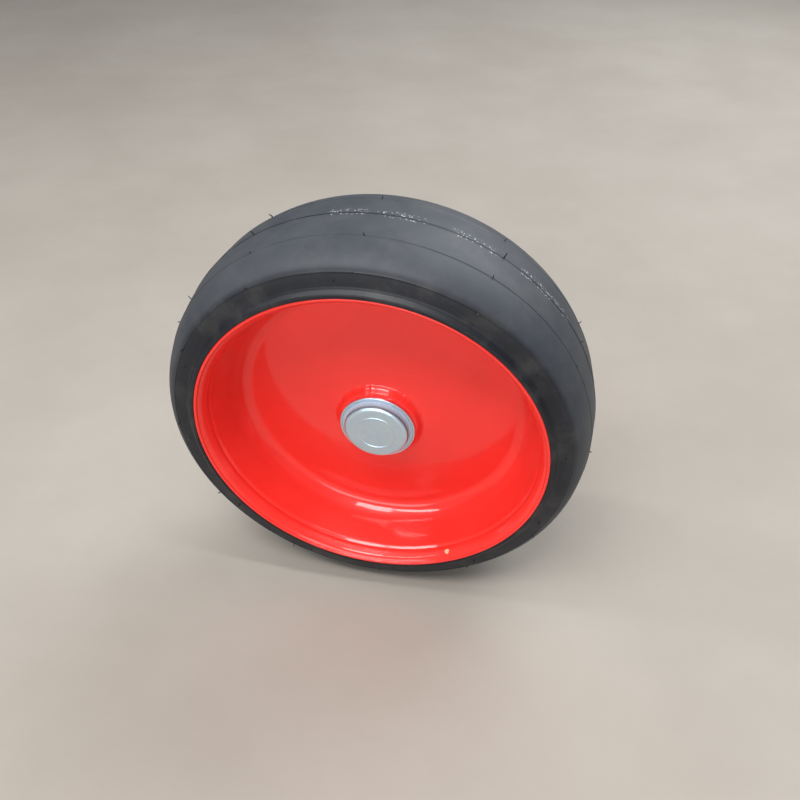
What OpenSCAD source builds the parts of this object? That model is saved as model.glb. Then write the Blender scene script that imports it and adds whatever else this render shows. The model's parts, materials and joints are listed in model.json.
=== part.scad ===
// Press wheel of a seed planter: a semi-pneumatic rubber tyre on a welded two-piece
// pressed-steel rim, running on two sealed ball bearings behind a press-in dust cap.
// The wheel turns about the Y axis. Its front, with the dust cap, faces -Y, and its
// centre is on the axle in the middle plane of the tyre.

/* [Tyre] */
// Diameter over the crown of the tread
tyre_d = 400; // [390:1:412]
// Width over the two beads and the rim lips
tyre_w = 135; // [129:1:141]
// Rubber thickness under the crown
tread_t = 18; // [12:0.5:22]
// Width of the hollow inside the tyre
hollow_w = 76; // [64:1:82]
// Height of the sidewall above the rim lip
sidewall_h = 19.5; // [16:0.5:23]
// How far the sidewall's upper edge lies inside the bead
sidewall_lean = 7; // [5:0.2:9]
// Distance from the middle plane to the fine moulded line on the shoulder
shoulder_line_y = 31; // [27:0.5:35]
// Height of the flash left by the mould along the middle of the tread
flash_h = 0.6; // [0.3:0.1:1]
// Height of the fine moulded lines on the shoulder and the sidewall
mould_line_h = 0.4; // [0.2:0.1:0.8]

/* [Rim] */
// Diameter over the rim lips
lip_d = 325; // [319:0.5:331]
// Thickness of the pressed sheet
sheet_t = 3; // [2:0.25:4]
// Height of the flared lip above the bead seat
lip_h = 5.4; // [4:0.2:7]
// Width of the flared lip along the axle
lip_w = 9; // [8:0.5:11]
// Width of the bead seat along the axle
seat_w = 15.5; // [13:0.5:18]
// Fall of the bead seat towards the middle of the rim
seat_fall = 4.2; // [2:0.2:6]
// Height of the small hump that locks the bead on its seat
hump_h = 0.6; // [0.3:0.1:0.9]
// Diameter of the disc where it meets the drop wall
disc_d = 269; // [262:1:276]
// Depth of the disc's edge behind the front lip
disc_depth = 62.3; // [57:0.1:67]
// Angle of the conical disc to the wheel's plane
disc_angle = 10.6; // [8:0.2:13]
// Radius of the bend between the drop wall and the disc
disc_bend = 11; // [5:0.5:14]
// Width of the rear half's flange on the back of the disc
flange_w = 14; // [10:0.5:20]
// Distance of the rear half's bend inside the front half's bend
flange_inset = 1.5; // [0.5:0.5:6]
// Number of weld runs that join the two rim halves
stitch_count = 6; // [3:1:8]
// Angle that each of these weld runs covers
stitch_angle = 26; // [15:1:40]

/* [Hub] */
// Wall of the hub over the bearing seat
hub_wall = 4; // [3:0.25:6]
// Bare end of the hub between the front weld and the cap
hub_neck = 1.4; // [0.6:0.2:6]
// Width of the shoulder between the two bearings
shoulder_w = 13; // [8:0.5:24]
// Height of the shoulder inside the bearing seat
shoulder_h = 3.5; // [2:0.25:5]
// Leg of the front weld round the hub, along the disc
front_weld = 7.5; // [5:0.5:10]
// Leg of the rear weld round the hub, along the disc
rear_weld = 6; // [4:0.5:10]

/* [Bearings] */
// Bore of the bearings, which is the axle diameter
bearing_bore = 25; // [22:1:28]
// Outside diameter of the bearings
bearing_od = 62; // [58:1:66]
// Width of one bearing
bearing_w = 17; // [16:0.5:20]
// Diameter of the balls
ball_d = 11; // [9:0.25:11.5]
// Number of balls in each bearing
ball_count = 7; // [5:1:8]
// Radial gap between the lands of the two rings
land_gap = 7; // [5:0.25:8]
// Thickness of a bearing seal
seal_t = 1.2; // [0.8:0.1:1.4]
// Thickness of the rings that hold the bearings in the hub
circlip_t = 2; // [1.5:0.25:2.5]
// Radial width of these rings
circlip_w = 4.6; // [3.5:0.2:6]

/* [Dust cap] */
// Height of the cap's face above the end of the hub
cap_h = 10; // [7:0.5:14]
// Sheet thickness of the cap
cap_t = 1.2; // [0.8:0.1:1.6]
// Depth of the cap's spigot in the hub
cap_depth = 6.5; // [4:0.5:9]
// Thickness of the folded collar
cap_collar_t = 2.5; // [1.6:0.1:3.5]
// Corner radius of the cap's face
cap_corner = 4; // [2:0.25:6]
// Diameter of the plain raised ring on the cap's face
cap_ring_d = 36; // [24:1:44]

/* [Hidden] */
$fn = 96;

// Clearances and small radii
tyre_gap = 0.1;
disc_gap = 0.1;
ball_gap = 0.05;
pocket_gap = 0.15;
cage_gap = 0.4;
seal_gap = 0.2;
circlip_gap = 0.05;
least_radius = 0.4;
arc_step = 9;

// Rim: places along the axle and radii
lip_y = tyre_w / 2;
lip_r = lip_d / 2;
seat_r = lip_r - sheet_t - lip_h;
disc_r = disc_d / 2;
disc_y = disc_depth - lip_y;
disc_axial_t = sheet_t / cos(disc_angle);

// Hub and bearings
bearing_r = bearing_od / 2;
hub_r = bearing_r + hub_wall;
function weld_rise(leg) = leg * 0.85;
hub_front = cone_y(hub_r) - weld_rise(front_weld) - hub_neck;
circlip_groove_w = circlip_t + 0.15;
circlip_groove_r = bearing_r + 1.5;
cap_clear = 0.6;
front_bearing_y = hub_front + cap_depth + cap_clear + circlip_groove_w;
shoulder_y = front_bearing_y + bearing_w;
rear_bearing_y = shoulder_y + shoulder_w;
hub_end_land = 3;
hub_rear = rear_bearing_y + bearing_w + circlip_groove_w + hub_end_land;
pitch_r = (bearing_bore + bearing_od) / 4;
inner_land_r = pitch_r - land_gap / 2;
outer_land_r = pitch_r + land_gap / 2;
seal_recess = 0.3;
seal_seat_r = outer_land_r + 1.2;
cage_t = 3.2;
cage_w = bearing_w - 2 * (seal_recess + seal_t + cage_gap);

// Axial place of the disc's front face at radius r
function cone_y(r) = disc_y - (disc_r - r) * tan(disc_angle);

// Plane geometry for turned outlines: a point is [radius, place along the axle],
// and a corner adds the radius of its fillet
function unit(v) = v / norm(v);
function left(v) = [-v[1], v[0]];
function point(c) = [c[0], c[1]];
function reversed(list) = [for (i = [len(list) - 1:-1:0]) list[i]];
function mirrored(list) = [for (p = list) [p[0], -p[1]]];
function heading(c, i) = unit(point(c[i + 1]) - point(c[i]));

// An open run of corners moved sideways by d, to the left of its direction
function beside(c, d) = [for (i = [0:len(c) - 1])
    let(a = heading(c, max(i - 1, 0)),
        b = heading(c, min(i, len(c) - 2)),
        m = left(a) + left(b),
        p = point(c[i]) + m * 2 * d / (m * m))
    [p[0], p[1], max(least_radius, c[i][2] - d * sign(cross(a, b)))]];

// The points of one corner's fillet, kept within its two sides
function fillet(p, q, s, radius) =
    let(a = unit(q - p), b = unit(s - q), side = sign(cross(a, b)),
        turn = acos(max(-1, min(1, a * b))))
    turn < 0.5 ? [q] :
    let(reach = min(radius * tan(turn / 2), 0.48 * norm(q - p), 0.48 * norm(s - q)),
        rho = reach / tan(turn / 2),
        centre = q - a * reach + left(a) * rho * side,
        first = -left(a) * rho * side,
        steps = ceil(turn / arc_step))
    [for (k = [0:steps]) let(w = side * turn * k / steps)
        centre + [first[0] * cos(w) - first[1] * sin(w), first[0] * sin(w) + first[1] * cos(w)]];

// An open run of corners as points, with its fillets
function rounded(c) = [for (i = [0:len(c) - 1])
    each i == 0 || i == len(c) - 1 ? [point(c[i])] :
        fillet(point(c[i - 1]), point(c[i]), point(c[i + 1]), c[i][2])];

// A cubic curve through p and s, between the shares from and to of its length
function curve(p, q, r, s, from, to, steps) = [for (k = [0:steps])
    let(t = from + (to - from) * k / steps, u = 1 - t)
    p * u * u * u + q * 3 * u * u * t + r * 3 * u * t * t + s * t * t * t];

// Outline of a pressed sheet: the run of corners is the side away from the tyre
function sheet(c) = concat(rounded(c), reversed(rounded(beside(c, -sheet_t))));

// Turns an outline about the axle
module turned(outline) {
    rotate([-90, 0, 0]) rotate_extrude() polygon(outline);
}

// A plain turned ring between two radii and two places along the axle
module ring(inner_r, outer_r, from_y, to_y) {
    turned([[inner_r, from_y], [outer_r, from_y], [outer_r, to_y], [inner_r, to_y]]);
}

// The flared lip, the hump and the bead seat, which both rim halves share, as the
// front half has them. The last corner is the inner end of the seat.
seat_slope = seat_fall / seat_w;
hump_from = 3;
hump_len = 1.6;
function seat_at(w) = seat_r - seat_slope * w;
lip_curl = 1.6;
lip_corners = [
    [seat_r + lip_h, -lip_y, 0],
    [seat_r + lip_h, -lip_y + lip_curl, 2.5],
    [seat_r + lip_h * 0.45, -lip_y + lip_w * 0.42, 14],
    [seat_at(0), -lip_y + lip_w, 4],
    [seat_at(hump_from), -lip_y + lip_w + hump_from, 2],
    [seat_at(hump_from) + hump_h, -lip_y + lip_w + hump_from + hump_len, 2],
    [seat_at(hump_from + 3 * hump_len), -lip_y + lip_w + hump_from + 3 * hump_len, 6],
    [seat_at(seat_w), -lip_y + lip_w + seat_w, 8]];

// Front half: lip, bead seat, drop wall and conical disc in one pressing, pierced for the hub
module front_rim_half() {
    pressed_r = hub_r - sheet_t;
    color([0.85, 0.10, 0.07]) difference() {
        turned(sheet(concat(lip_corners,
            [[disc_r, disc_y, disc_bend], [pressed_r, cone_y(pressed_r), 0]])));
        translate([0, hub_front, 0]) rotate([-90, 0, 0])
            cylinder(r = hub_r + disc_gap, h = hub_rear - hub_front);
    }
}

// Rear half: the same lip and seat, with a flange that lies on the back of the disc
function flange_y(r) = cone_y(r) + 2 * disc_axial_t;
bend_r = disc_r - disc_bend - flange_inset;
flange_r = bend_r - flange_w;
flange_bend = 6;
module rear_rim_half() {
    color([0.85, 0.10, 0.07]) turned(mirrored(sheet(concat(lip_corners,
        [[bend_r, -flange_y(bend_r), flange_bend], [flange_r, -flange_y(flange_r), 0]]))));
}

// Weld runs between the flange's inner edge and the back of the disc
module rim_stitch_welds() {
    leg = sheet_t;
    back = cone_y(flange_r) + disc_axial_t;
    tilt = leg * tan(disc_angle);
    color([0.80, 0.09, 0.06]) for (i = [0:stitch_count - 1])
        rotate([0, i * 360 / stitch_count - stitch_angle / 2, 0]) rotate([-90, 0, 0])
            rotate_extrude(angle = stitch_angle) polygon(rounded([
                [flange_r, back, 0], [flange_r, back + leg, 0],
                [flange_r - leg * 0.7, back + leg * 0.7 - tilt, leg],
                [flange_r - leg, back - tilt, 0]]));
}

// Tyre: crowned smooth tread, plain sidewalls and two beads seated on the rim
crown_r = tyre_d / 2 - flash_h;
edge_r = lip_r + sidewall_h;
edge_y = lip_y - sidewall_lean;
crown_hold = 17;
shoulder_rise = 14.3;
shoulder_in = 5.5;
flash_w = 1.2;
line_share = 0.016;
bead_land = 3.4;
tread = [[crown_r, 0], [crown_r, crown_hold], [edge_r + shoulder_rise, edge_y - shoulder_in],
    [edge_r, edge_y]];

// Share of the tread curve at which it reaches the place y along the axle
function tread_share(y, low = 0, high = 1, n = 24) = n == 0 ? (low + high) / 2 :
    let(mid = (low + high) / 2)
    tread_at(mid)[1] < y ? tread_share(y, mid, high, n - 1) : tread_share(y, low, mid, n - 1);
function tread_at(t) = curve(tread[0], tread[1], tread[2], tread[3], t, t, 1)[0];
function tread_run(from, to, steps) =
    curve(tread[0], tread[1], tread[2], tread[3], from, to, steps);

// A point on the tread curve, raised square to the surface by h
function tread_raised(t, h) =
    let(along = unit(tread_at(t + line_share) - tread_at(t - line_share)))
    tread_at(t) - left(along) * h;

// The rear half of the tyre's outline, from the crown round the bead to the hollow
toe_share = 0.72;
hollow_round = 13;
hollow_r = crown_r - tread_t;
bead_foot = mirrored(rounded(beside(concat(
    [for (i = [0:len(lip_corners) - 2]) lip_corners[i]],
    [[seat_at(seat_w * toe_share), -lip_y + lip_w + seat_w * toe_share, 0]]),
    -sheet_t - tyre_gap)));
toe = bead_foot[len(bead_foot) - 1];
line_t = tread_share(shoulder_line_y);
tyre_half = concat(
    [[crown_r + flash_h, 0], [crown_r + flash_h, flash_w / 4]],
    [for (p = tread_run(0.02, line_t - line_share, 7)) p],
    [tread_raised(line_t, mould_line_h)],
    tread_run(line_t + line_share, 1 - line_share, 8),
    rounded([
        tread_raised(1 - line_share, 0),
        [edge_r, edge_y + mould_line_h, 0.3],
        [edge_r - 1.2, edge_y + 0.3, 0.6],
        [lip_r + bead_land + 3, lip_y - 4.6, 4],
        [lip_r + bead_land, lip_y, 2],
        bead_foot[0]]),
    [for (i = [1:len(bead_foot) - 1]) bead_foot[i]],
    rounded([
        toe,
        [toe[0] + 3, hollow_w / 2, 2],
        [hollow_r, hollow_w / 2, hollow_round],
        [hollow_r, 0]]));
module tyre() {
    color([0.07, 0.07, 0.08])
        turned(concat(tyre_half, reversed(mirrored([for (i = [1:len(tyre_half) - 2]) tyre_half[i]]))));
}

// Hub: a turned tube with two bearing seats, a shoulder and two retaining grooves
module circlip_groove(from_y) {
    ring(bearing_r - 1, circlip_groove_r, from_y, from_y + circlip_groove_w);
}
module hub_shell() {
    edge = 0.8;
    color([0.82, 0.09, 0.06]) difference() {
        turned(rounded([
            [bearing_r, hub_front], [hub_r - edge, hub_front, 0], [hub_r, hub_front + edge, 0],
            [hub_r, hub_rear - edge, 0], [hub_r - edge, hub_rear, 0], [bearing_r, hub_rear, 0],
            [bearing_r, rear_bearing_y, 0], [bearing_r - shoulder_h, rear_bearing_y, 0],
            [bearing_r - shoulder_h, shoulder_y, 0], [bearing_r, shoulder_y]]));
        circlip_groove(front_bearing_y - circlip_groove_w);
        circlip_groove(rear_bearing_y + bearing_w);
    }
}

// Fillet weld round the hub on one face of the disc, standing out by the sign of out
module hub_weld(leg, face_y, out) {
    rise = weld_rise(leg);
    tilt = leg * tan(disc_angle);
    color([0.80, 0.09, 0.06]) turned(rounded([
        [hub_r, face_y, 0], [hub_r + leg, face_y + tilt, 0],
        [hub_r + leg * 0.62, face_y + tilt * 0.62 + out * rise * 0.62, leg * 0.5],
        [hub_r, face_y + out * rise, 0]]));
}
module front_hub_weld() { hub_weld(front_weld, cone_y(hub_r), -1); }
module rear_hub_weld() { hub_weld(rear_weld, cone_y(hub_r) + disc_axial_t, 1); }

// Dust cap: a deep-drawn cup with a folded collar that seats on the end of the hub. A rolled
// edge stands round the collar, so a shallow groove is left between it and the cup.
module dust_cap() {
    collar_over = 0.5;
    cup_in = 0.5;
    ring_half = 0.7;
    ring_h = 0.4;
    collar_r = hub_r + collar_over;
    cup_r = bearing_r - cup_in;
    face = hub_front - cap_h;
    collar_y = hub_front - cap_collar_t;
    spigot_end = hub_front + cap_depth;
    inside_r = cup_r - cap_t;
    groove = cap_collar_t * 0.28;
    roll_r = collar_r - (collar_r - cup_r) * 0.3;
    color([0.72, 0.74, 0.76]) turned(rounded([
        [0, face], [cap_ring_d / 2 - ring_half, face, 0.3],
        [cap_ring_d / 2 - ring_half * 0.4, face - ring_h, 0.2],
        [cap_ring_d / 2 + ring_half * 0.4, face - ring_h, 0.2],
        [cap_ring_d / 2 + ring_half, face, 0.3],
        [cup_r, face, cap_corner], [cup_r, collar_y + groove, 0.5],
        [roll_r - groove, collar_y + groove, 0.5], [roll_r, collar_y, 0.6],
        [collar_r, collar_y, cap_collar_t * 0.28], [collar_r, hub_front, cap_collar_t * 0.45],
        [bearing_r, hub_front, 0], [bearing_r, spigot_end - 0.5, 0],
        [bearing_r - 0.5, spigot_end, 0], [inside_r, spigot_end, 0],
        [inside_r, face + cap_t, max(least_radius, cap_corner - cap_t)], [0, face + cap_t]]));
}

// Retaining ring: an open ring with two eyes for the pliers
module circlip(from_y) {
    outer_r = circlip_groove_r - circlip_gap;
    inner_r = outer_r - circlip_w;
    gap_half = 10;
    eye_r = 2.9;
    eye_hole_r = 1.25;
    eye_at = inner_r + 1.6;
    eye_angle = gap_half + asin(eye_r / eye_at);
    to_y = from_y + circlip_t;
    color([0.16, 0.16, 0.17]) rotate([0, 90, 0]) difference() {
        union() {
            rotate([0, gap_half, 0]) rotate([-90, 0, 0])
                rotate_extrude(angle = 360 - 2 * gap_half)
                    polygon([[inner_r, from_y], [outer_r, from_y], [outer_r, to_y], [inner_r, to_y]]);
            for (s = [-1, 1]) rotate([0, s * eye_angle, 0]) translate([eye_at, from_y, 0])
                rotate([-90, 0, 0]) cylinder(r = eye_r, h = circlip_t);
        }
        for (s = [-1, 1]) rotate([0, s * eye_angle, 0]) translate([eye_at, from_y - 1, 0])
            rotate([-90, 0, 0]) cylinder(r = eye_hole_r, h = circlip_t + 2);
    }
}
module front_circlip() { circlip(front_bearing_y - circlip_t); }
module rear_circlip() { circlip(rear_bearing_y + bearing_w); }

// Deep-groove ball bearing, piece by piece, from its front face at from_y
ring_edge = 0.8;
race_r = ball_d / 2 * 1.04;
module race_groove(at_r, from_y) {
    translate([0, from_y + bearing_w / 2, 0]) rotate([-90, 0, 0])
        rotate_extrude() translate([at_r, 0]) circle(r = race_r);
}
module outer_ring(from_y) {
    to_y = from_y + bearing_w;
    step = seal_recess + seal_t;
    color([0.74, 0.75, 0.77]) difference() {
        turned([
            [seal_seat_r, from_y], [bearing_r - ring_edge, from_y], [bearing_r, from_y + ring_edge],
            [bearing_r, to_y - ring_edge], [bearing_r - ring_edge, to_y], [seal_seat_r, to_y],
            [seal_seat_r, to_y - step], [outer_land_r, to_y - step],
            [outer_land_r, from_y + step], [seal_seat_r, from_y + step]]);
        race_groove(pitch_r + ball_d / 2 + ball_gap - race_r, from_y);
    }
}
module inner_ring(from_y) {
    to_y = from_y + bearing_w;
    bore_r = bearing_bore / 2;
    color([0.74, 0.75, 0.77]) difference() {
        turned([
            [bore_r, from_y], [inner_land_r - ring_edge, from_y], [inner_land_r, from_y + ring_edge],
            [inner_land_r, to_y - ring_edge], [inner_land_r - ring_edge, to_y], [bore_r, to_y]]);
        race_groove(pitch_r - ball_d / 2 - ball_gap + race_r, from_y);
    }
}
module each_ball(from_y) {
    for (i = [0:ball_count - 1]) rotate([0, i * 360 / ball_count, 0])
        translate([pitch_r, from_y + bearing_w / 2, 0]) children();
}
module balls(from_y) {
    color([0.80, 0.81, 0.83]) each_ball(from_y) sphere(d = ball_d);
}
module cage(from_y) {
    mid_y = from_y + bearing_w / 2;
    color([0.55, 0.50, 0.42]) difference() {
        ring(pitch_r - cage_t / 2, pitch_r + cage_t / 2, mid_y - cage_w / 2, mid_y + cage_w / 2);
        each_ball(from_y) rotate([0, 90, 0])
            cylinder(d = ball_d + 2 * pocket_gap, h = 4 * cage_t, center = true);
    }
}
module seal(from_y) {
    color([0.09, 0.08, 0.08]) ring(inner_land_r + seal_gap, seal_seat_r, from_y, from_y + seal_t);
}
module front_bearing_outer_ring() { outer_ring(front_bearing_y); }
module front_bearing_inner_ring() { inner_ring(front_bearing_y); }
module front_bearing_cage() { cage(front_bearing_y); }
module front_bearing_balls() { balls(front_bearing_y); }
module front_bearing_front_seal() { seal(front_bearing_y + seal_recess); }
module front_bearing_rear_seal() { seal(front_bearing_y + bearing_w - seal_recess - seal_t); }
module rear_bearing_outer_ring() { outer_ring(rear_bearing_y); }
module rear_bearing_inner_ring() { inner_ring(rear_bearing_y); }
module rear_bearing_cage() { cage(rear_bearing_y); }
module rear_bearing_balls() { balls(rear_bearing_y); }
module rear_bearing_front_seal() { seal(rear_bearing_y + seal_recess); }
module rear_bearing_rear_seal() { seal(rear_bearing_y + bearing_w - seal_recess - seal_t); }

// Spacer that keeps the two inner rings apart on the axle
module bearing_spacer() {
    spacer_wall = 4;
    color([0.62, 0.63, 0.65])
        ring(bearing_bore / 2, bearing_bore / 2 + spacer_wall, shoulder_y, rear_bearing_y);
}

tyre();
front_rim_half();
rear_rim_half();
rim_stitch_welds();
hub_shell();
front_hub_weld();
rear_hub_weld();
dust_cap();
front_circlip();
rear_circlip();
front_bearing_outer_ring();
front_bearing_inner_ring();
front_bearing_cage();
front_bearing_balls();
front_bearing_front_seal();
front_bearing_rear_seal();
rear_bearing_outer_ring();
rear_bearing_inner_ring();
rear_bearing_cage();
rear_bearing_balls();
rear_bearing_front_seal();
rear_bearing_rear_seal();
bearing_spacer();
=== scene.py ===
# %% [markdown]
# # A planter press wheel
# This lesson dresses a wheel that follows a seed planter and firms the soil over the row.
# The CAD model already holds every piece and joint. Blender adds what the eye looks for:
# smooth turned forms, moulded rubber with its vent stubs, glossy enamel, weld beads and
# plated steel. Every mesh is made in the CAD frame, in metres: the axle runs along Y, the
# capped front faces -Y, and Z is up. Sizes are named in millimetres and multiplied by MM.

# %% Load the CAD frame
import json
import math
import random

import bmesh
import bpy
from mathutils import Matrix, Quaternion, Vector, geometry


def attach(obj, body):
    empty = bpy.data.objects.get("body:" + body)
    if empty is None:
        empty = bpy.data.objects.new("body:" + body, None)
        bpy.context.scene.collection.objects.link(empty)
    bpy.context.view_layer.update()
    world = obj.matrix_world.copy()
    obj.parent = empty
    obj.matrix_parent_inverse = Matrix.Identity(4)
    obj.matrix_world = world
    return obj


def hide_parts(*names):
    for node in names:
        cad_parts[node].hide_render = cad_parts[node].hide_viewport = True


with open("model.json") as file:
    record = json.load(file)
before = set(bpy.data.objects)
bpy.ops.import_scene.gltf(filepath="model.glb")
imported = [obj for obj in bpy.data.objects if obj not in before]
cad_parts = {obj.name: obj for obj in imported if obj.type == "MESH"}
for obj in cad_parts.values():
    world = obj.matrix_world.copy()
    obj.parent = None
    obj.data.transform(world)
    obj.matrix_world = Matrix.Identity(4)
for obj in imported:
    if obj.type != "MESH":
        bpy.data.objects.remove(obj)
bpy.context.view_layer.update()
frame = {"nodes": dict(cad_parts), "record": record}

MM, FULL_TURN = 0.001, 2 * math.pi
scene = bpy.context.scene
scene.view_settings.view_transform = "Standard"

# %% [markdown]
# ## Camera
# The photograph looks down on the wheel from the front and a little from the right. A lens
# close by shows less of the far shoulder than one further off, so the distance matters as
# much as the angle. The picture is a crop, so its centre is not the lens's own: a small shift
# of the lens and a slight roll allow for that.

# %% Place the camera
AZIMUTH, ELEVATION, DISTANCE = math.radians(14.23), math.radians(41.0), 0.7418
AIM, ROLL = Vector((0.06252, 0.0, -0.02144)), math.radians(1.116)
FOCAL_PX, FRAME_PX, SENSOR_MM = 765.0, 800.0, 36.0
LENS_CENTRE_PX = (448.65, 427.71)
NEAREST, FURTHEST = 0.02, 30.0
OWN_AXIS = (0.0, 0.0, 1.0)

camera_data = bpy.data.cameras.new("photo_camera")
camera_data.sensor_width = SENSOR_MM
camera_data.lens = FOCAL_PX / FRAME_PX * SENSOR_MM
camera_data.shift_x = 0.5 - LENS_CENTRE_PX[0] / FRAME_PX
camera_data.shift_y = LENS_CENTRE_PX[1] / FRAME_PX - 0.5
camera_data.clip_start, camera_data.clip_end = NEAREST, FURTHEST
camera = bpy.data.objects.new("photo_camera", camera_data)
camera.location = DISTANCE * Vector((
    math.sin(AZIMUTH) * math.cos(ELEVATION),
    -math.cos(AZIMUTH) * math.cos(ELEVATION),
    math.sin(ELEVATION)))
looking = (AIM - camera.location).to_track_quat("-Z", "Y") @ Quaternion(OWN_AXIS, ROLL)
camera.rotation_euler = looking.to_euler()
scene.collection.objects.link(camera)
scene.camera = camera
print("lens", round(camera_data.lens, 2), "mm")

# %% [markdown]
# ## Floor and light
# A pale, plain floor carries the wheel and its shadow. The light is that of a workshop: an even
# world, a large panel high up behind the wheel that lays a sheen on the tread, thin tubes and
# skylights overhead that draw streaks in the enamel, and a wide door that lights the dish.

# %% Make the floor
FLOOR_Z, FLOOR_HALF = -0.200, 6.0
floor_mesh = bpy.data.meshes.new("floor")
bm = bmesh.new()
bmesh.ops.create_grid(bm, x_segments=1, y_segments=1, size=FLOOR_HALF)
bmesh.ops.translate(bm, verts=bm.verts[:], vec=(0.0, 0.0, FLOOR_Z))
bm.to_mesh(floor_mesh)
bm.free()
floor = bpy.data.objects.new("floor", floor_mesh)
scene.collection.objects.link(floor)
print("floor at", FLOOR_Z, "m")


# %% Make the lights
def panel(name, place, aim, size, power, colour, turn=0.0):
    """A rectangular lamp of size (width, height) that looks at aim, turned in its own plane."""
    data = bpy.data.lights.new(name, "AREA")
    data.shape = "RECTANGLE"
    data.size, data.size_y = size
    data.energy, data.color = power, colour
    lamp = bpy.data.objects.new(name, data)
    lamp.location = place
    facing = (Vector(aim) - Vector(place)).to_track_quat("-Z", "Y")
    lamp.rotation_euler = (facing @ Quaternion(OWN_AXIS, turn)).to_euler()
    scene.collection.objects.link(lamp)


WHITE, COOL_WHITE, DAYLIGHT = (1.0, 1.0, 1.0), (0.93, 0.97, 1.0), (0.96, 0.98, 1.0)
ROOF_Z, ROOF_TURN = 1.9, -0.11
ROOF_LAMPS = [
    # name, x, y, (width, height), power in watts
    ("near_tube", 0.2, -0.22, (2.6, 0.06), 13.5),
    ("far_tube", -1.6, -0.02, (2.1, 0.05), 9.0),
    ("near_skylight", -0.03, -0.92, (0.9, 0.62), 25.0),
    ("far_skylight", -1.33, -0.80, (1.55, 0.22), 18.0)]
panel("back_panel", (1.1, 1.75, 1.8), (0.3, 0.4, -0.1), (2.0, 1.6), 64.0, COOL_WHITE)
for lamp_name, x, y, size, power in ROOF_LAMPS:
    panel(lamp_name, (x, y, ROOF_Z), (x, y, 0.0), size, power, WHITE, ROOF_TURN)
panel("front_door", (-0.2, -2.5, 0.7), (0.0, 0.0, -0.05), (2.2, 1.1), 31.0, DAYLIGHT)

SKY_COLOUR, SKY_STRENGTH = (0.95, 0.97, 1.0, 1.0), 0.30
world = bpy.data.worlds.new("room")
world.use_nodes = True
scene.world = world
sky = world.node_tree.nodes["Background"]
sky.inputs["Color"].default_value = SKY_COLOUR
sky.inputs["Strength"].default_value = SKY_STRENGTH

# %% [markdown]
# ## Small tools for materials
# Material nodes are easier to read when a line says what goes in. `add` makes one node, sets
# its options and feeds its sockets: a number is typed in, and another node's output is linked.


# %% Node helpers
def feed(tree, socket, value):
    """Links an output, or types a number or a colour into the socket."""
    if isinstance(value, bpy.types.NodeSocket):
        tree.links.new(value, socket)
    elif isinstance(value, (tuple, list)) and len(value) == 3 and socket.type == "RGBA":
        socket.default_value = (*value, 1.0)
    else:
        socket.default_value = value


def feed_all(tree, sockets, values):
    """Feeds sockets in their order."""
    for socket, value in zip(sockets, values):
        feed(tree, socket, value)


def add(tree, kind, options=None, **sockets):
    """One shader node. Socket names use _ for a space."""
    made = tree.nodes.new("ShaderNode" + kind)
    for name, value in (options or {}).items():
        setattr(made, name, value)
    for name, value in sockets.items():
        feed(tree, made.inputs[name.replace("_", " ")], value)
    return made


def maths(tree, operation, *values):
    """A Math node's result."""
    made = add(tree, "Math", {"operation": operation})
    feed_all(tree, made.inputs, values)
    return made.outputs[0]


def times(tree, a, b):
    """Two values multiplied."""
    return maths(tree, "MULTIPLY", a, b)


def remap(tree, value, low, high, to_low=0.0, to_high=1.0, smooth=False):
    """Stretches low..high to to_low..to_high, and holds the ends."""
    kind = "SMOOTHSTEP" if smooth else "LINEAR"
    made = add(tree, "MapRange", {"interpolation_type": kind, "clamp": True})
    feed_all(tree, made.inputs, (value, low, high, to_low, to_high))
    return made.outputs["Result"]


def band(tree, value, start, full, fall, end):
    """1 from full to fall, easing to 0 at start and at end, all in mm."""
    return times(tree, remap(tree, value, start * MM, full * MM),
                 remap(tree, value, end * MM, fall * MM))


def blend_colour(tree, factor, a, b):
    """Colour a where factor is 0, and b where it is 1."""
    made = add(tree, "Mix", {"data_type": "RGBA"})
    factor_socket, a_socket, b_socket = made.inputs[0], made.inputs[6], made.inputs[7]
    feed_all(tree, (factor_socket, a_socket, b_socket), (factor, a, b))
    return made.outputs[2]


# %% Node group helpers
def new_group(name, inputs, outputs):
    """A shader node group with float sockets: its tree, its inputs and its outputs."""
    tree = bpy.data.node_groups.new(name, "ShaderNodeTree")
    kind = "NodeSocketFloat"
    for label, value in inputs:
        socket = tree.interface.new_socket(label, in_out="INPUT", socket_type=kind)
        socket.default_value = value
    for label in outputs:
        tree.interface.new_socket(label, in_out="OUTPUT", socket_type=kind)
    given = tree.nodes.new("NodeGroupInput").outputs
    return tree, given, tree.nodes.new("NodeGroupOutput").inputs


def use(tree, group, **sockets):
    """Places a node group in a material and returns its outputs."""
    return add(tree, "Group", {"node_tree": group}, **sockets).outputs


def object_place(tree):
    """Object coordinates, which stay with the piece when the wheel turns."""
    return add(tree, "TexCoord").outputs["Object"]


# %% [markdown]
# ## Shared effects
# Several finishes on this wheel share an effect, so each effect is a node group that is built
# once. All of them read Object coordinates, so that the marks turn with the wheel.

# %% Where a point lies on the wheel
wheel_place, _, out = new_group("wheel_place", [], ["Radius", "Across"])
spot = add(wheel_place, "SeparateXYZ", Vector=object_place(wheel_place)).outputs
flat = add(wheel_place, "CombineXYZ", X=spot["X"], Y=spot["Z"]).outputs[0]
length = add(wheel_place, "VectorMath", {"operation": "LENGTH"}, Vector=flat)
feed(wheel_place, out["Radius"], length.outputs["Value"])
feed(wheel_place, out["Across"], spot["Y"])

# %% Fine grain, clouds and specks
grain, given, out = new_group("grain", [("Scale", 500.0), ("Detail", 4.0)], ["Height"])
noise = add(grain, "TexNoise", Vector=object_place(grain), Scale=given["Scale"],
            Detail=given["Detail"])
feed(grain, out["Height"], noise.outputs["Fac"])

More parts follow.
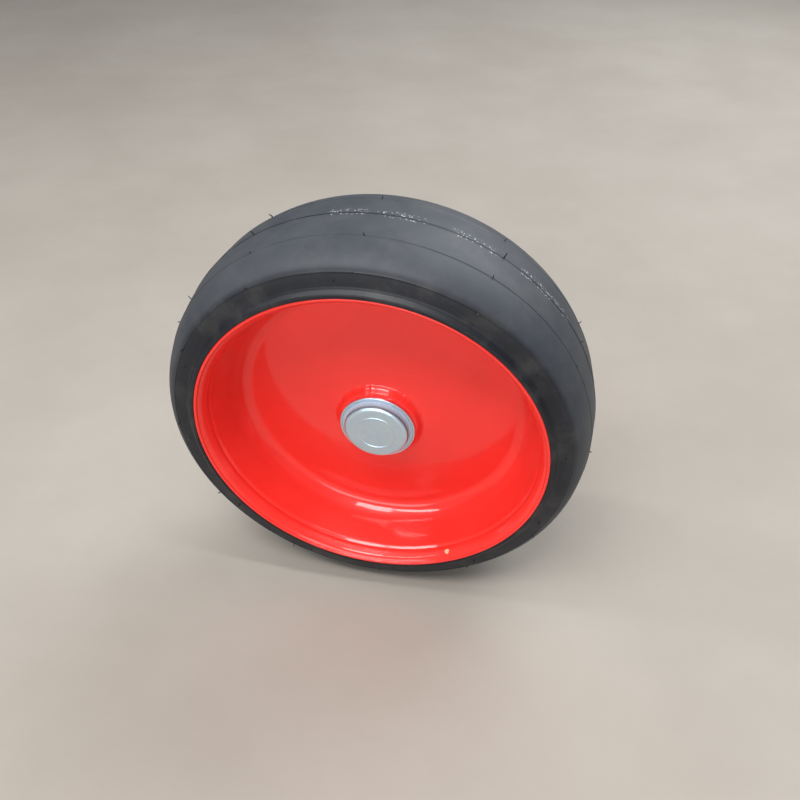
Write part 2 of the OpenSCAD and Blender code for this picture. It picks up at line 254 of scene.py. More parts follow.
clouds, given, out = new_group(
    "clouds", [("Scale", 12.0), ("Low", 0.4), ("High", 0.65)], ["Mask"])
noise = add(clouds, "TexNoise", Vector=object_place(clouds), Scale=given["Scale"],
            Detail=7.0, Roughness=0.62)
feed(clouds, out["Mask"],
     remap(clouds, noise.outputs["Fac"], given["Low"], given["High"], smooth=True))

specks, given, out = new_group(
    "specks", [("Scale", 160.0), ("Size", 0.12), ("Share", 0.3)], ["Mask"])
cell = add(specks, "TexVoronoi", Vector=object_place(specks), Scale=given["Scale"]).outputs
lot = add(specks, "SeparateColor", Color=cell["Color"]).outputs["Red"]
drawn = maths(specks, "LESS_THAN", lot, given["Share"])
soft_edge = times(specks, given["Size"], 0.5)
dot = remap(specks, cell["Distance"], soft_edge, given["Size"], 1.0, 0.0)
feed(specks, out["Mask"], times(specks, drawn, dot))

# %% Lines that a lathe or a spinning die leaves
turned_lines, given, out = new_group("turned_lines", [("Scale", 900.0)], ["Height"])
at = use(turned_lines, wheel_place)
lane = add(turned_lines, "CombineXYZ", X=at["Radius"], Y=at["Across"]).outputs[0]
noise = add(turned_lines, "TexNoise", {"noise_dimensions": "2D"}, Vector=lane,
            Scale=given["Scale"], Detail=5.0, Roughness=0.7)
feed(turned_lines, out["Height"], noise.outputs["Fac"])
print("groups:", [g.name for g in bpy.data.node_groups])


# %% [markdown]
# ## Finishes
# Each finish is one material with its own Principled shader. What is the same all over is set
# on the shader, and what changes over the surface comes from the groups.


# %% A material with its shader
def new_finish(name, **constants):
    """A material: returns it, its tree and its Principled shader with the constants set."""
    made = bpy.data.materials.new(name)
    made.use_nodes = True
    tree = made.node_tree
    shader = tree.nodes["Principled BSDF"]
    for label, value in constants.items():
        feed(tree, shader.inputs[label.replace("_", " ")], value)
    return made, tree, shader


def emboss(tree, shader, *layers):
    """Stacks bumps (height, strength, depth in mm) on the shader's normal."""
    normal = None
    for height, strength, depth in layers:
        made = add(tree, "Bump", Strength=strength, Distance=depth * MM, Height=height)
        if normal is not None:
            tree.links.new(normal, made.inputs["Normal"])
        normal = made.outputs["Normal"]
    tree.links.new(normal, shader.inputs["Normal"])


# %% [markdown]
# ### Rubber
# The tread is a dusty charcoal, greyer where it has been handled, and the sidewall is smoother
# and nearly black. The mould leaves a seam round the middle, with pale torn flecks beside it
# in broken groups, and a fine line on each shoulder. Painted shade darkens the seam and the
# shoulder lines, the front shoulder line more than the rear.

# %% Rubber colours and places
WALL_DARK, WALL_LIGHT = (0.005, 0.006, 0.010), (0.008, 0.009, 0.014)
CROWN_DARK, CROWN_LIGHT = (0.031, 0.036, 0.045), (0.049, 0.054, 0.063)
# the first colour on the next line is painted shade for the seam and the shoulder lines
LINE_SHADE, FLECK_PALE = (0.006, 0.006, 0.008), (0.37, 0.38, 0.40)
DUST_TAN, DUST_SHARE = (0.105, 0.100, 0.092), 0.22
TREAD_FULL, TREAD_END, SHOULDER_LINE_Y = 57.0, 62.2, 31.0
SEAM_EDGE, LINE_EDGE, LINE_FADE = (0.7, 1.3), (0.4, 1.0), 10.0
# how much painted shade the front and the rear shoulder lines get, and how much the flecks show
FRONT_LINE_SHADE, REAR_LINE_SHADE, FLECK_SHARE = 0.55, 0.22, 0.8
NEAR_FLECKS, FAR_FLECKS = (-3.6, -3.0, -1.3, -0.9), (1.0, 1.5, 5.0, 9.0)
RUBBER_SMOOTH, RUBBER_ROUGH = 0.38, 0.60

# %% Tyre rubber
tyre_rubber, tree, shader = new_finish("tyre_rubber", Specular_IOR_Level=0.38)
at = use(tree, wheel_place)
side = maths(tree, "ABSOLUTE", at["Across"])
tread = remap(tree, side, TREAD_END * MM, TREAD_FULL * MM, smooth=True)
mottle = use(tree, clouds, Scale=16.0, Low=0.32, High=0.70)["Mask"]
fine = use(tree, grain, Scale=1400.0, Detail=3.0)["Height"]
rings = use(tree, turned_lines, Scale=420.0)["Height"]
walls = blend_colour(tree, mottle, WALL_DARK, WALL_LIGHT)
crown = blend_colour(tree, mottle, CROWN_DARK, CROWN_LIGHT)
colour = blend_colour(tree, tread, walls, crown)

# painted shade: dark lines on the seam and on each shoulder, stronger on the front shoulder
seam = remap(tree, side, SEAM_EDGE[0] * MM, SEAM_EDGE[1] * MM, 1.0, 0.0)
from_line = maths(tree, "ABSOLUTE", maths(tree, "SUBTRACT", side, SHOULDER_LINE_Y * MM))
shoulder_shade = times(
    tree, remap(tree, from_line, LINE_EDGE[0] * MM, LINE_EDGE[1] * MM, 1.0, 0.0),
    remap(tree, at["Across"], -LINE_FADE * MM, LINE_FADE * MM, FRONT_LINE_SHADE, REAR_LINE_SHADE))
painted_lines = maths(tree, "MAXIMUM", seam, shoulder_shade)
colour = blend_colour(tree, painted_lines, colour, LINE_SHADE)

crumbs = use(tree, specks, Scale=480.0, Size=0.50, Share=0.55)["Mask"]
beside_seam = maths(tree, "MAXIMUM", band(tree, at["Across"], *NEAR_FLECKS),
                    band(tree, at["Across"], *FAR_FLECKS))
torn_groups = add(tree, "Attribute", {"attribute_name": "seam_flecks"}).outputs["Fac"]
fleck_mask = times(tree, torn_groups, times(tree, crumbs, beside_seam))
colour = blend_colour(tree, times(tree, fleck_mask, FLECK_SHARE), colour, FLECK_PALE)

dust = use(tree, clouds, Scale=38.0, Low=0.46, High=0.74)["Mask"]
colour = blend_colour(tree, times(tree, dust, DUST_SHARE), colour, DUST_TAN)
feed(tree, shader.inputs["Base Color"], colour)
dullness = maths(tree, "ADD", times(tree, fine, 0.5), times(tree, tread, 0.5))
feed(tree, shader.inputs["Roughness"],
     remap(tree, dullness, 0.1, 0.9, RUBBER_SMOOTH, RUBBER_ROUGH))
emboss(tree, shader, (fine, 0.25, 0.10), (rings, 0.10, 0.10))
print("made", tyre_rubber.name)

# %% [markdown]
# ### Enamel
# The rim is sprayed with a glossy orange-red. Wet enamel never dries quite flat, so a fine
# ripple known as orange peel breaks up its reflections. A clear coat on the shader gives the
# gloss. Handling leaves a few pale specks and one small chip on the lip.

# %% Enamel colours and the chip
RED_DEEP, RED_BRIGHT = (0.80, 0.025, 0.018), (0.88, 0.034, 0.026)
SPECK_PINK, SPECK_SHARE, CHIP_TAN = (0.90, 0.42, 0.34), 0.30, (0.62, 0.40, 0.26)
CHIP_SPOT, CHIP_EDGE, CHIP_RAGGED = (0.0716, -0.0603, -0.1374), (4.4, 4.9), 4.0


# %% Red enamel, plain and over welds
def red_enamel(name, peel_scale, peel_depth):
    """Glossy orange-red paint with its own size of ripple."""
    made, tree, shader = new_finish(name, Coat_Weight=0.75, Coat_Roughness=0.08,
                                    Coat_IOR=1.5, Specular_IOR_Level=0.2)
    drift = use(tree, clouds, Scale=7.0, Low=0.30, High=0.72)["Mask"]
    colour = blend_colour(tree, drift, RED_DEEP, RED_BRIGHT)
    grit = use(tree, specks, Scale=210.0, Size=0.10, Share=0.05)["Mask"]
    colour = blend_colour(tree, times(tree, grit, SPECK_SHARE), colour, SPECK_PINK)
    measure = add(tree, "VectorMath", {"operation": "DISTANCE"})
    feed_all(tree, measure.inputs, (object_place(tree), CHIP_SPOT))
    ragged = use(tree, grain, Scale=420.0, Detail=2.0)["Height"]
    away = maths(tree, "ADD", measure.outputs["Value"], times(tree, ragged, CHIP_RAGGED * MM))
    chip = remap(tree, away, CHIP_EDGE[0] * MM, CHIP_EDGE[1] * MM, 1.0, 0.0)
    colour = blend_colour(tree, chip, colour, CHIP_TAN)
    feed(tree, shader.inputs["Base Color"], colour)
    peel = use(tree, grain, Scale=peel_scale, Detail=1.5)["Height"]
    smear = use(tree, clouds, Scale=24.0, Low=0.35, High=0.75)["Mask"]
    feed(tree, shader.inputs["Roughness"], remap(tree, smear, 0.0, 1.0, 0.30, 0.42))
    emboss(tree, shader, (peel, 0.25, peel_depth))
    print("made", name)
    return made


rim_enamel = red_enamel("rim_enamel", 150.0, 0.03)
weld_enamel = red_enamel("weld_enamel", 200.0, 0.90)

# %% [markdown]
# ### Plated and bare steel
# The cap is drawn from sheet and zinc plated: a satin grey with faint rings, and painted shade
# in the groove round its cup. The bearing rings are ground, the spacer is turned, and the
# retaining rings are dark phosphated steel.

# %% Painted shade in the cap's groove
GROOVE_SHADE_DARK, GROOVE_SHADE_LIGHT, GROOVE_SHADE_SHARE, GROOVE_SHADE_METALLIC = (0.06, 0.07, 0.09), (0.40, 0.45, 0.53), 0.9, 0.15
# inner and outer radius, and where along the axle the painted shade starts and is palest
CAP_GROOVE_SHADE = (29.4, 31.8, -40.8, -36.6)


# %% Metals
def metal(name, dark, light, rough, line_scale, line_depth, groove_shade=None):
    """Bare or plated metal with rings from turning, a cloudy tone and a dull band of painted shade.
    """
    made, tree, shader = new_finish(name, Metallic=1.0)
    tone = use(tree, clouds, Scale=70.0, Low=0.30, High=0.72)["Mask"]
    lines = use(tree, turned_lines, Scale=line_scale)["Height"]
    mixed = maths(tree, "ADD", times(tree, tone, 0.55), times(tree, lines, 0.45))
    colour = blend_colour(tree, mixed, dark, light)
    # painted shade: a dark, less metallic band in the cap's groove, darkest near the face
    if groove_shade:
        at = use(tree, wheel_place)
        inner, outer, start, palest = groove_shade
        shade_band = times(tree, band(tree, at["Radius"], inner, inner + 0.2, outer, outer + 0.3),
                     remap(tree, at["Across"], start * MM, (start + 0.5) * MM))
        depth = remap(tree, at["Across"], (start + 1.0) * MM, palest * MM, smooth=True)
        shade_colour = blend_colour(tree, depth, GROOVE_SHADE_DARK, GROOVE_SHADE_LIGHT)
        colour = blend_colour(tree, times(tree, shade_band, GROOVE_SHADE_SHARE), colour, shade_colour)
        feed(tree, shader.inputs["Metallic"], remap(tree, shade_band, 0.0, 1.0, 1.0, GROOVE_SHADE_METALLIC))
    feed(tree, shader.inputs["Base Color"], colour)
    feed(tree, shader.inputs["Roughness"],
         remap(tree, mixed, 0.1, 0.9, rough + 0.07, rough - 0.05))
    fine = use(tree, grain, Scale=1800.0, Detail=2.0)["Height"]
    emboss(tree, shader, (lines, 0.25, line_depth), (fine, 0.12, 0.05))
    print("made", name)
    return made


# dark tone, light tone, roughness, scale and depth of the turned lines
zinc_plate = metal("zinc_plate", (0.60, 0.77, 0.91), (0.72, 0.90, 1.00),
                   0.36, 1500.0, 0.06, groove_shade=CAP_GROOVE_SHADE)
bearing_steel = metal("bearing_steel", (0.50, 0.51, 0.53), (0.64, 0.65, 0.67),
                      0.24, 2600.0, 0.03)
turned_steel = metal("turned_steel", (0.36, 0.37, 0.38), (0.50, 0.51, 0.53),
                     0.36, 1700.0, 0.06)
spring_steel = metal("spring_steel", (0.035, 0.036, 0.040), (0.075, 0.075, 0.082),
                     0.44, 2200.0, 0.03)

# %% [markdown]
# ### Seals, cages and the floor
# Seals and cages are moulded, so they carry the mould's fine texture and a quiet mottle. The
# floor is only there to take the shadow: a dull, faintly cloudy surface.


# %% Seals and cages
def moulded(name, dark, light, rough):
    """A moulded piece: a quiet mottle and a fine mould texture."""
    made, tree, shader = new_finish(name, Specular_IOR_Level=0.45)
    tone = use(tree, clouds, Scale=90.0, Low=0.3, High=0.7)["Mask"]
    fine = use(tree, grain, Scale=1600.0, Detail=3.0)["Height"]
    feed(tree, shader.inputs["Base Color"], blend_colour(tree, tone, dark, light))
    feed(tree, shader.inputs["Roughness"],
         remap(tree, fine, 0.3, 0.7, rough - 0.06, rough + 0.08))
    emboss(tree, shader, (fine, 0.30, 0.06))
    print("made", name)
    return made


seal_rubber = moulded("seal_rubber", (0.012, 0.011, 0.012), (0.026, 0.023, 0.023), 0.52)
cage_plastic = moulded("cage_plastic", (0.33, 0.25, 0.14), (0.44, 0.35, 0.21), 0.48)

# %% The floor's finish
FLOOR_DARK, FLOOR_LIGHT = (0.315, 0.282, 0.243), (0.365, 0.330, 0.290)
pale_floor, tree, shader = new_finish("pale_floor", Roughness=0.85)
haze = use(tree, clouds, Scale=3.0, Low=0.2, High=0.8)["Mask"]
feed(tree, shader.inputs["Base Color"], blend_colour(tree, haze, FLOOR_DARK, FLOOR_LIGHT))
floor_mesh.materials.append(pale_floor)
print("finishes:", [m.name for m in bpy.data.materials])

# %% [markdown]
# ## Turning pieces on an axle
# Nearly every piece of a wheel is turned: one outline swept round the axle. The outline starts
# as a few corners joined by edges. A vertex bevel rounds each corner, and a full spin about Y
# makes the skin. This keeps the outlines short, and the fillets stay true circles.

# %% How finely things are rounded
STEP_TURN, STEP_MM, MAX_REACH = 0.12, 3.0, 0.48
HOLD, LONG_EDGE, MERGE_DIST = 0.4 * MM, 8, 1e-6
CENTRE, AXLE = (0, 0, 0), (0, 1, 0)


# %% Outline and spin
def outline(bm, corners, closed=False):
    """Draws corners (radius, place along the axle, fillet radius) in mm, and rounds them."""
    points = [Vector((r * MM, y * MM, 0.0)) for r, y, _ in corners]
    verts = [bm.verts.new(p) for p in points]
    count = len(verts)
    for i in range(count if closed else count - 1):
        bm.edges.new((verts[i], verts[(i + 1) % count]))
    for i, (_, _, fillet) in enumerate(corners):
        if fillet and (closed or 0 < i < count - 1):
            back = points[i - 1] - points[i]
            ahead = points[(i + 1) % count] - points[i]
            turn = math.pi - back.angle(ahead)
            reach = min(fillet * MM * math.tan(turn / 2),
                        MAX_REACH * back.length, MAX_REACH * ahead.length)
            steps = max(2, math.ceil(turn / STEP_TURN), math.ceil(fillet * turn / STEP_MM))
            bmesh.ops.bevel(bm, geom=[verts[i]], offset=reach, offset_type="OFFSET",
                            affect="VERTICES", segments=steps, profile=0.5, material=-1)
    hold_ends(bm)


def hold_ends(bm):
    """Adds a point near both ends of each long edge, so that smooth shading keeps it straight."""
    for edge in [e for e in bm.edges if e.calc_length() > LONG_EDGE * HOLD]:
        for end in edge.verts[:]:
            whole = max(end.link_edges, key=lambda e: e.calc_length())
            bmesh.utils.edge_split(whole, end, HOLD / whole.calc_length())


def tidy_skin(bm):
    """Merges doubled points and turns the faces outwards."""
    bmesh.ops.remove_doubles(bm, verts=bm.verts[:], dist=MERGE_DIST)
    bmesh.ops.recalc_face_normals(bm, faces=bm.faces[:])


def spin(bm, steps):
    """Sweeps what is drawn once round the axle and merges the seam."""
    bmesh.ops.spin(bm, geom=bm.verts[:] + bm.edges[:], cent=CENTRE, axis=AXLE, dvec=CENTRE,
                   angle=FULL_TURN, steps=steps, use_merge=True, use_duplicate=False)
    tidy_skin(bm)


# %% From a mesh to a piece of the wheel
def finish_piece(name, bm, finish, nodes=(), body="wheel", crease=32):
    """Makes the mesh an object that rides on a body and stands for its CAD nodes."""
    mesh = bpy.data.meshes.new(name)
    bm.to_mesh(mesh)
    bm.free()
    mesh.shade_smooth()
    mesh.set_sharp_from_angle(angle=math.radians(crease))
    mesh.materials.append(finish)
    piece = bpy.data.objects.new(name, mesh)
    scene.collection.objects.link(piece)
    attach(piece, body)
    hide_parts(*nodes)
    print(f"{name}: {len(mesh.polygons)} faces")
    return piece


# %% [markdown]
# ## Tyre
# The tyre is hollow and open towards the rim, and its two beads sit behind the rim's lips. The
# crown is one smooth curve from the middle of the tread to the sidewall's edge. The mould
# leaves a thin flash along the middle, a fine raised line on each shoulder and a step at each
# sidewall. The outline of one half is drawn and then mirrored.

# %% Crown curve
CROWN_R, CROWN_PULL, EDGE_R, EDGE_Y, EDGE_PULL = 199.4, 17.0, 182.0, 60.5, (14.3, -5.5)
LINE_H, LINE_HALF, SAMPLES, KEEP_EVERY = 0.4, 3, 241, 6
curve = geometry.interpolate_bezier(
    Vector((CROWN_R, 0.0)), Vector((CROWN_R, CROWN_PULL)),
    Vector((EDGE_R + EDGE_PULL[0], EDGE_Y + EDGE_PULL[1])), Vector((EDGE_R, EDGE_Y)), SAMPLES)
line_at = min(range(SAMPLES), key=lambda i: abs(curve[i].y - SHOULDER_LINE_Y))
kept = [i for i in range(KEEP_EVERY, SAMPLES - 1, KEEP_EVERY) if abs(i - line_at) > LINE_HALF + 1]
kept += [line_at - LINE_HALF, line_at, line_at + LINE_HALF]
print("points on the crown:", len(kept))

# %% Tyre outline
tyre_half = [(CROWN_R + 0.5, 0.0, 0), (CROWN_R + 0.42, 0.45, 0)]  # half of the seam's flash
for i in sorted(kept):
    along = curve[i + 1] - curve[i - 1]
    lift = LINE_H if i == line_at else 0.0
    raised = curve[i] + Vector((along.y, -along.x)).normalized() * lift
    tyre_half.append((raised.x, raised.y, 0))
tyre_half += [
    # the step, the sidewall and the edge round the rim's lip
    (EDGE_R + 0.2, EDGE_Y + 0.45, 0.3), (EDGE_R - 1.2, EDGE_Y + 0.3, 0.6), (168.9, 62.9, 4.0),
    (165.9, 67.5, 2.0), (162.7, 67.5, 0), (162.7, 64.3, 2.0),
    # the bead and the hollow
    (159.1, 61.6, 6.0), (157.4, 57.4, 3.0), (157.3, 53.0, 3.0), (154.2, 46.5, 0),
    (157.2, 38.0, 2.0), (181.4, 38.0, 13.0), (181.4, 0.0, 0)]
tyre_loop = tyre_half + [(r, -y, f) for r, y, f in reversed(tyre_half[1:-1])]
print("corners of the tyre:", len(tyre_loop))

# %% Spin the tyre
TYRE_STEPS, RIM_STEPS, HUB_STEPS, WELD_STEPS, CAP_STEPS = 288, 240, 160, 320, 180
bm = bmesh.new()
outline(bm, tyre_loop, closed=True)
spin(bm, TYRE_STEPS)
tyre = finish_piece("tyre_skin", bm, tyre_rubber, ["tyre"])

# %% [markdown]
# The pale flecks come in groups along the seam. A point attribute on the mesh says where a group
# is, so that the marks stay on the tyre as it rolls, and the material reads it.

# %% Where the seam is torn
FLECK_GROUPS = [  # first and last angle in degrees
    (35, 53), (61, 72), (78, 89), (92, 101), (128, 141),
    (190, 206), (242, 255), (289, 300), (330, 344)]
torn = tyre.data.attributes.new("seam_flecks", "FLOAT", "POINT")
for vertex, value in zip(tyre.data.vertices, torn.data):
    angle = math.degrees(math.atan2(vertex.co.z, vertex.co.x)) % 360
    value.value = float(any(a <= angle <= b for a, b in FLECK_GROUPS))
print("fleck groups:", len(FLECK_GROUPS))

# %% [markdown]
# ### Vent stubs
# Air leaves the mould through pinholes, and rubber follows it: the tyre comes out with short
# hairs in rows of twelve on the lines of the mould. Each is a six-sided ring, extruded in
# three short steps that lean over and taper.

# %% One stub
dice = random.Random(7)
STUB_SIDES, STUB_STEPS, STUB_ROOT, STUB_TAPER = 6, 3, 0.4 * MM, 0.84
STUB_LEAN, FIRST_LEAN, MORE_LEAN = 0.55, 0.35, 0.4


def vent_stub(bm, root, outward, length, thick):
    """One leaning, tapering stub that starts just inside the rubber."""
    lean = Vector((dice.uniform(-1, 1), dice.uniform(-1, 1), dice.uniform(-1, 1)))
    lean = (lean - lean.dot(outward) * outward) * STUB_LEAN
    stand = outward.to_track_quat("Z", "Y").to_matrix().to_4x4()
    stand = Matrix.Translation(root - outward * STUB_ROOT) @ stand
    ring = bmesh.ops.create_circle(bm, cap_ends=False, segments=STUB_SIDES, radius=thick / 2,
                                   matrix=stand)["verts"]
    loop = list({e for v in ring for e in v.link_edges})
    for step in range(STUB_STEPS):
        grown = bmesh.ops.extrude_edge_only(bm, edges=loop)["geom"]
        ring = [g for g in grown if isinstance(g, bmesh.types.BMVert)]
        loop = [g for g in grown if isinstance(g, bmesh.types.BMEdge)
                and all(v in ring for v in g.verts)]
        rise = length / STUB_STEPS + (STUB_ROOT if step == 0 else 0)
        go = (outward + lean * (FIRST_LEAN + MORE_LEAN * step)).normalized() * rise
        bmesh.ops.translate(bm, verts=ring, vec=go)
        centre = sum((v.co for v in ring), Vector()) / len(ring)
        bmesh.ops.scale(bm, verts=ring, vec=(STUB_TAPER, STUB_TAPER, STUB_TAPER),
                        space=Matrix.Translation(-centre))
    bmesh.ops.contextual_create(bm, geom=loop)


# %% Grow the rows of stubs
STUBS_A_ROW, STUB_STRAY, STUB_THICK = 12, 1.6, (1.1, 1.5)
BOX_HALF, LEAST_ROOM = 199.8, 1.0
STUB_ROWS = [
    # radius, place along the axle, outward slope, first angle, shortest, longest
    (196.9, -31.0, 13.0, 0.0, 2.0, 3.4), (196.9, 31.0, 13.0, 0.0, 2.4, 4.4),
    (199.9, 0.4, 1.0, 0.0, 2.6, 5.0),
    (181.9, -60.7, 62.0, 0.0, 2.0, 3.6), (181.9, 60.7, 62.0, 0.0, 2.0, 3.6),
    (175.5, -61.8, 76.0, 6.0, 1.6, 3.0), (175.5, 61.8, 76.0, 6.0, 1.6, 3.0)]
bm = bmesh.new()
for radius, across, slope, first, low, high in STUB_ROWS:
    tilt = math.radians(slope) * (1 if across > 0 else -1)
    for k in range(STUBS_A_ROW):
        stray = dice.uniform(-STUB_STRAY, STUB_STRAY)
        angle = math.radians(first + 360 / STUBS_A_ROW * k + stray)
        length = dice.uniform(low, high)
        room = BOX_HALF / max(abs(math.cos(angle)), abs(math.sin(angle))) - radius
        if room < LEAST_ROOM:
            continue
        radial = Vector((math.cos(angle), 0.0, math.sin(angle)))
        outward = radial * math.cos(tilt) + Vector((0.0, math.sin(tilt), 0.0))
        root = radial * radius * MM + Vector((0.0, across * MM, 0.0))
        vent_stub(bm, root, outward, min(length, room) * MM, dice.uniform(*STUB_THICK) * MM)
bmesh.ops.recalc_face_normals(bm, faces=bm.faces[:])
finish_piece("tyre_vent_stubs", bm, tyre_rubber)

# %% [markdown]
# ## Rim
# The rim is two pressings. The front one runs from its lip over the bead seat, down the drop
# wall and across the conical disc. The press leaves the wall a little bowed near the disc,
# which catches the light from above. Only its open face is drawn: the spin makes a skin, and
# solidify gives it the thickness of the sheet on the side of the tyre. The lip's cut edge is
# then rounded with an edge bevel.

# %% The pressed sheets
SHEET_T, LIP_ROUND, LIP_FROM_R, SHARP = 3.0, 1.1, 150.0, 1.0
DISC_R, DISC_Y, CONE = 134.5, -5.2, math.tan(math.radians(10.6))
LIP_RUN = [(159.5, -67.5, 0), (159.5, -65.9, 2.5), (156.53, -63.72, 14.0), (154.1, -58.5, 4.0),
           (153.29, -55.5, 3.2), (153.89, -53.9, 3.2), (151.99, -50.7, 6.0), (149.9, -43.0, 8.0)]


def cone_y(radius):
    """Place of the disc's front face along the axle."""
    return DISC_Y - (DISC_R - radius) * CONE


def pressing(run, facing):
    """A spun sheet whose drawn face looks along facing (-1 is the front)."""
    bm = bmesh.new()
    outline(bm, run)
    spin(bm, RIM_STEPS)
    disc = min(bm.faces, key=lambda f: f.calc_center_median().xz.length)
    if disc.normal.y * facing < 0:
        bmesh.ops.reverse_faces(bm, faces=bm.faces[:])
    bmesh.ops.solidify(bm, geom=bm.faces[:], thickness=SHEET_T * MM)
    bm.normal_update()
    lip = [e for e in bm.edges
           if e.calc_face_angle(0) > SHARP and e.verts[0].co.xz.length > LIP_FROM_R * MM]
    bmesh.ops.bevel(bm, geom=lip, offset=LIP_ROUND * MM, offset_type="OFFSET",
                    affect="EDGES", segments=4, profile=0.5, material=-1)
    return bm


# %% Front half
BOW_R, BOW_Y, BOW_ARC, DISC_BEND, HUB_HOLE_R = 142.7, -17.3, 45.0, 11.0, 35.2
front_run = LIP_RUN + [(BOW_R, BOW_Y, BOW_ARC), (DISC_R, DISC_Y, DISC_BEND),
                       (HUB_HOLE_R, cone_y(HUB_HOLE_R), 0)]
finish_piece("front_rim_pressing", pressing(front_run, -1), rim_enamel,
             ["front_rim_half"])

# %% Rear half
BEND_R, REAR_BEND, FLANGE_R = 122.0, 6.0, 108.0
disc_t = SHEET_T * math.hypot(1.0, CONE)
rear_run = [(r, -y, f) for r, y, f in LIP_RUN] + [
    (BEND_R, cone_y(BEND_R) + 2 * disc_t, REAR_BEND),
    (FLANGE_R, cone_y(FLANGE_R) + 2 * disc_t, 0)]
finish_piece("rear_rim_pressing", pressing(rear_run, 1), rim_enamel,
             ["rear_rim_half"])

# %% [markdown]
# ## Hub and welds
# The hub is a turned tube that passes through the disc and is welded to it on both faces.
# Thick paint softens a weld's ripples to uneven lumps. The bead is spun as a plain fillet
# first, and then its free skin is swelled and thinned round the hub.

# %% Hub tube
HUB_R, SEAT_R, GROOVE_R, SHOULDER_R = 35.0, 31.0, 32.5, 27.5
FRONT_WELD, REAR_WELD, WELD_RISE, HUB_NECK = 7.5, 6.0, 0.85, 1.4
BEARING_W, GROOVE_W, SHOULDER_W, CAP_SEAT, END_LAND = 17.0, 2.15, 13.0, 9.25, 3.0
HUB_FRONT = cone_y(HUB_R) - FRONT_WELD * WELD_RISE - HUB_NECK
front_seat = HUB_FRONT + CAP_SEAT
front_stop = front_seat + BEARING_W
rear_seat = front_stop + SHOULDER_W
rear_groove = rear_seat + BEARING_W
HUB_REAR = rear_groove + GROOVE_W + END_LAND
bm = bmesh.new()
outline(bm, [
    (SEAT_R, HUB_FRONT, 0), (HUB_R, HUB_FRONT, 0.8),
    (HUB_R, HUB_REAR, 0.9), (SEAT_R, HUB_REAR, 0.4),
    (SEAT_R, HUB_REAR - END_LAND, 0), (GROOVE_R, HUB_REAR - END_LAND, 0),
    (GROOVE_R, rear_groove, 0), (SEAT_R, rear_groove, 0),
    (SEAT_R, rear_seat, 0), (SHOULDER_R, rear_seat, 0),
    (SHOULDER_R, front_stop, 0), (SEAT_R, front_stop, 0),
    (SEAT_R, front_seat, 0), (GROOVE_R, front_seat, 0),
    (GROOVE_R, front_seat - GROOVE_W, 0), (SEAT_R, front_seat - GROOVE_W, 0)], closed=True)
spin(bm, HUB_STEPS)
finish_piece("hub_tube", bm, rim_enamel, ["hub_shell"])


# %% Uneven lumps on a bead
def undulate(bm, lumps, height, fixed):
    """Swells a bead's free skin in soft, uneven lumps; fixed(v) says which points stay."""
    bm.normal_update()
    swell = [dice.uniform(-1.0, 1.0) for _ in range(lumps)]
    moves = []
    for v in bm.verts:
        if not fixed(v):
            place = (math.atan2(v.co.z, v.co.x) / FULL_TURN % 1.0) * lumps
            first = int(place) % lumps
            share = (1 - math.cos(math.pi * (place % 1.0))) / 2
            size = swell[first] * (1 - share) + swell[(first + 1) % lumps] * share
            moves.append((v, v.normal * size * height * MM))
    for v, move in moves:
        v.co += move


# %% Weld beads round the hub
HUB_LUMPS, HUB_SWELL, SEATED, BEAD_CREASE = 96, 0.24, 0.05, 60
# the bead's free corners as shares of its leg: out from the hub, rise, fillet
BEAD_CROWN = [(0.80, 0.07, 1.2), (0.60, 0.28, 0.9), (0.30, 0.80, 0.35)]


def hub_weld(name, leg, face_y, out, node):
    """A fillet weld round the hub on one face of the disc."""
    rise = leg * WELD_RISE * out
    bm = bmesh.new()
    outline(bm, [(HUB_R, face_y, 0), (HUB_R + leg, face_y + leg * CONE, 0)]
            + [(HUB_R + leg * r, face_y + leg * r * CONE + rise * h, leg * f)
               for r, h, f in BEAD_CROWN]
            + [(HUB_R, face_y + rise, 0)], closed=True)
    spin(bm, WELD_STEPS)

    def seated(v):
        radius = v.co.xz.length
        on_disc = abs(v.co.y - (face_y + (radius / MM - HUB_R) * CONE) * MM)
        return radius < (HUB_R + SEATED) * MM or on_disc < SEATED * MM
    undulate(bm, HUB_LUMPS, HUB_SWELL, seated)
    finish_piece(name, bm, weld_enamel, [node], crease=BEAD_CREASE)


hub_weld("front_hub_bead", FRONT_WELD, cone_y(HUB_R), -1, "front_hub_weld")
hub_weld("rear_hub_bead", REAR_WELD, cone_y(HUB_R) + disc_t, 1, "rear_hub_weld")

# %% [markdown]
# ### Stitch welds
# Six short runs hold the rear pressing's flange to the back of the disc. Each is one closed
# section, swept through its own few degrees with its ends capped, and lumpy like the beads.

# %% Stitch welds on the rear flange
STITCHES, STITCH_DEG, STITCH_STEPS, STITCH_LUMPS, STITCH_SWELL = 6, 26.0, 40, 130, 0.4
STITCH_LEG, STITCH_SUNK, STITCH_CROWN = 3.0, 0.5, (2.1, 1.6, 3.0)
DISC_BACK = cone_y(FLANGE_R) + disc_t


def on_flange(v):
    """The skin that lies on the flange's edge or in the disc."""
    return (v.co.xz.length > (FLANGE_R - SEATED) * MM
            or v.co.y < (DISC_BACK - 0.3) * MM)


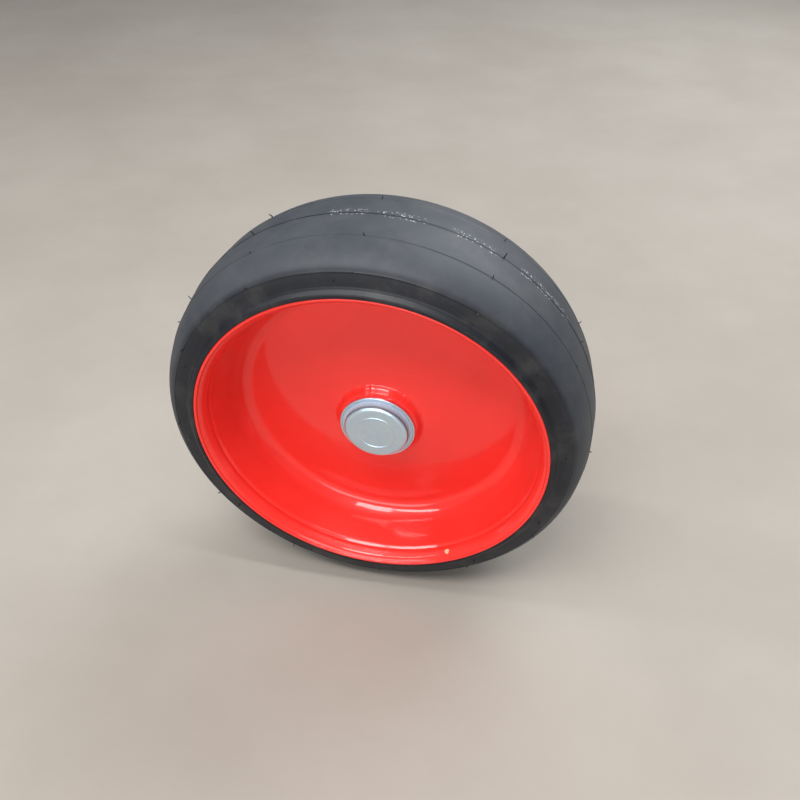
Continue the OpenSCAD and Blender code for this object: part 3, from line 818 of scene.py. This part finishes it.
whole = bmesh.new()
for k in range(STITCHES):
    bm = bmesh.new()
    outline(bm, [(FLANGE_R, DISC_BACK, 0), (FLANGE_R, DISC_BACK + STITCH_LEG, 0),
                 (FLANGE_R - STITCH_CROWN[0], DISC_BACK + STITCH_CROWN[1], STITCH_CROWN[2]),
                 (FLANGE_R - STITCH_LEG, DISC_BACK - STITCH_SUNK, 0)], closed=True)
    bmesh.ops.contextual_create(bm, geom=bm.edges[:])
    start = math.radians(360 / STITCHES * k - STITCH_DEG / 2)
    bmesh.ops.rotate(bm, verts=bm.verts[:], cent=CENTRE, matrix=Matrix.Rotation(start, 3, "Y"))
    bmesh.ops.spin(bm, geom=bm.faces[:], cent=CENTRE, axis=AXLE, dvec=CENTRE,
                   angle=math.radians(STITCH_DEG), steps=STITCH_STEPS,
                   use_merge=False, use_duplicate=False)
    tidy_skin(bm)
    undulate(bm, STITCH_LUMPS, STITCH_SWELL, on_flange)
    part_mesh = bpy.data.meshes.new("stitch")
    bm.to_mesh(part_mesh)
    bm.free()
    whole.from_mesh(part_mesh)
    bpy.data.meshes.remove(part_mesh)
finish_piece("rim_stitch_beads", whole, weld_enamel, ["rim_stitch_welds"],
             crease=BEAD_CREASE)

# %% [markdown]
# ## Dust cap
# The cap is drawn from thin sheet. Its folded collar rests on the end of the hub and has a
# rolled edge with a shallow groove inside it. The spigot presses into the bearing seat, and a
# plain ring is raised on the face.

# %% Spin the cap
CUP_R, COLLAR_R, ROLL_R, CAP_T, CAP_CREASE = 30.5, 35.5, 34.0, 1.2, 45
RING_R, RING_FOOT, RING_TOP, RING_H = 18.0, 0.8, 0.3, 0.4
FACE_Y, COLLAR_Y, SPIGOT_END = HUB_FRONT - 10.0, HUB_FRONT - 2.5, HUB_FRONT + 6.5
GROOVE_Y, GROOVE_SLOPE = COLLAR_Y + 0.7, 0.7
bm = bmesh.new()
outline(bm, [
    # the face with its ring
    (0.0, FACE_Y, 0), (RING_R - RING_FOOT, FACE_Y, 0.4),
    (RING_R - RING_TOP, FACE_Y - RING_H, 0.25), (RING_R + RING_TOP, FACE_Y - RING_H, 0.25),
    (RING_R + RING_FOOT, FACE_Y, 0.4), (CUP_R, FACE_Y, 4.0),
    # the groove and the rolled collar
    (CUP_R, GROOVE_Y, 0.5), (ROLL_R - GROOVE_SLOPE, GROOVE_Y, 0.5),
    (ROLL_R, COLLAR_Y, 0.6), (COLLAR_R, COLLAR_Y, 0.7), (COLLAR_R, HUB_FRONT, 1.1),
    # the spigot and the inside
    (SEAT_R, HUB_FRONT, 0), (SEAT_R, SPIGOT_END, 0.5), (CUP_R - CAP_T, SPIGOT_END, 0),
    (CUP_R - CAP_T, FACE_Y + CAP_T, 2.8), (0.0, FACE_Y + CAP_T, 0)])
spin(bm, CAP_STEPS)
finish_piece("dust_cap_skin", bm, zinc_plate, ["dust_cap"], crease=CAP_CREASE)

# %% [markdown]
# ## Bearings
# The bearing pieces keep their CAD shapes, which are right as they are, and get their finishes.

# %% Finish the carried-over nodes
FINISHES = {"bearing_steel": bearing_steel, "seal_rubber": seal_rubber,
            "cage_plastic": cage_plastic, "spring_steel": spring_steel,
            "turned_steel": turned_steel}
for row in frame["record"]["subparts"]:
    if row["material_slot"] in FINISHES:
        mesh = frame["nodes"][row["node"]].data
        mesh.materials.clear()
        mesh.materials.append(FINISHES[row["material_slot"]])
        print(row["node"], "is", row["material_slot"])
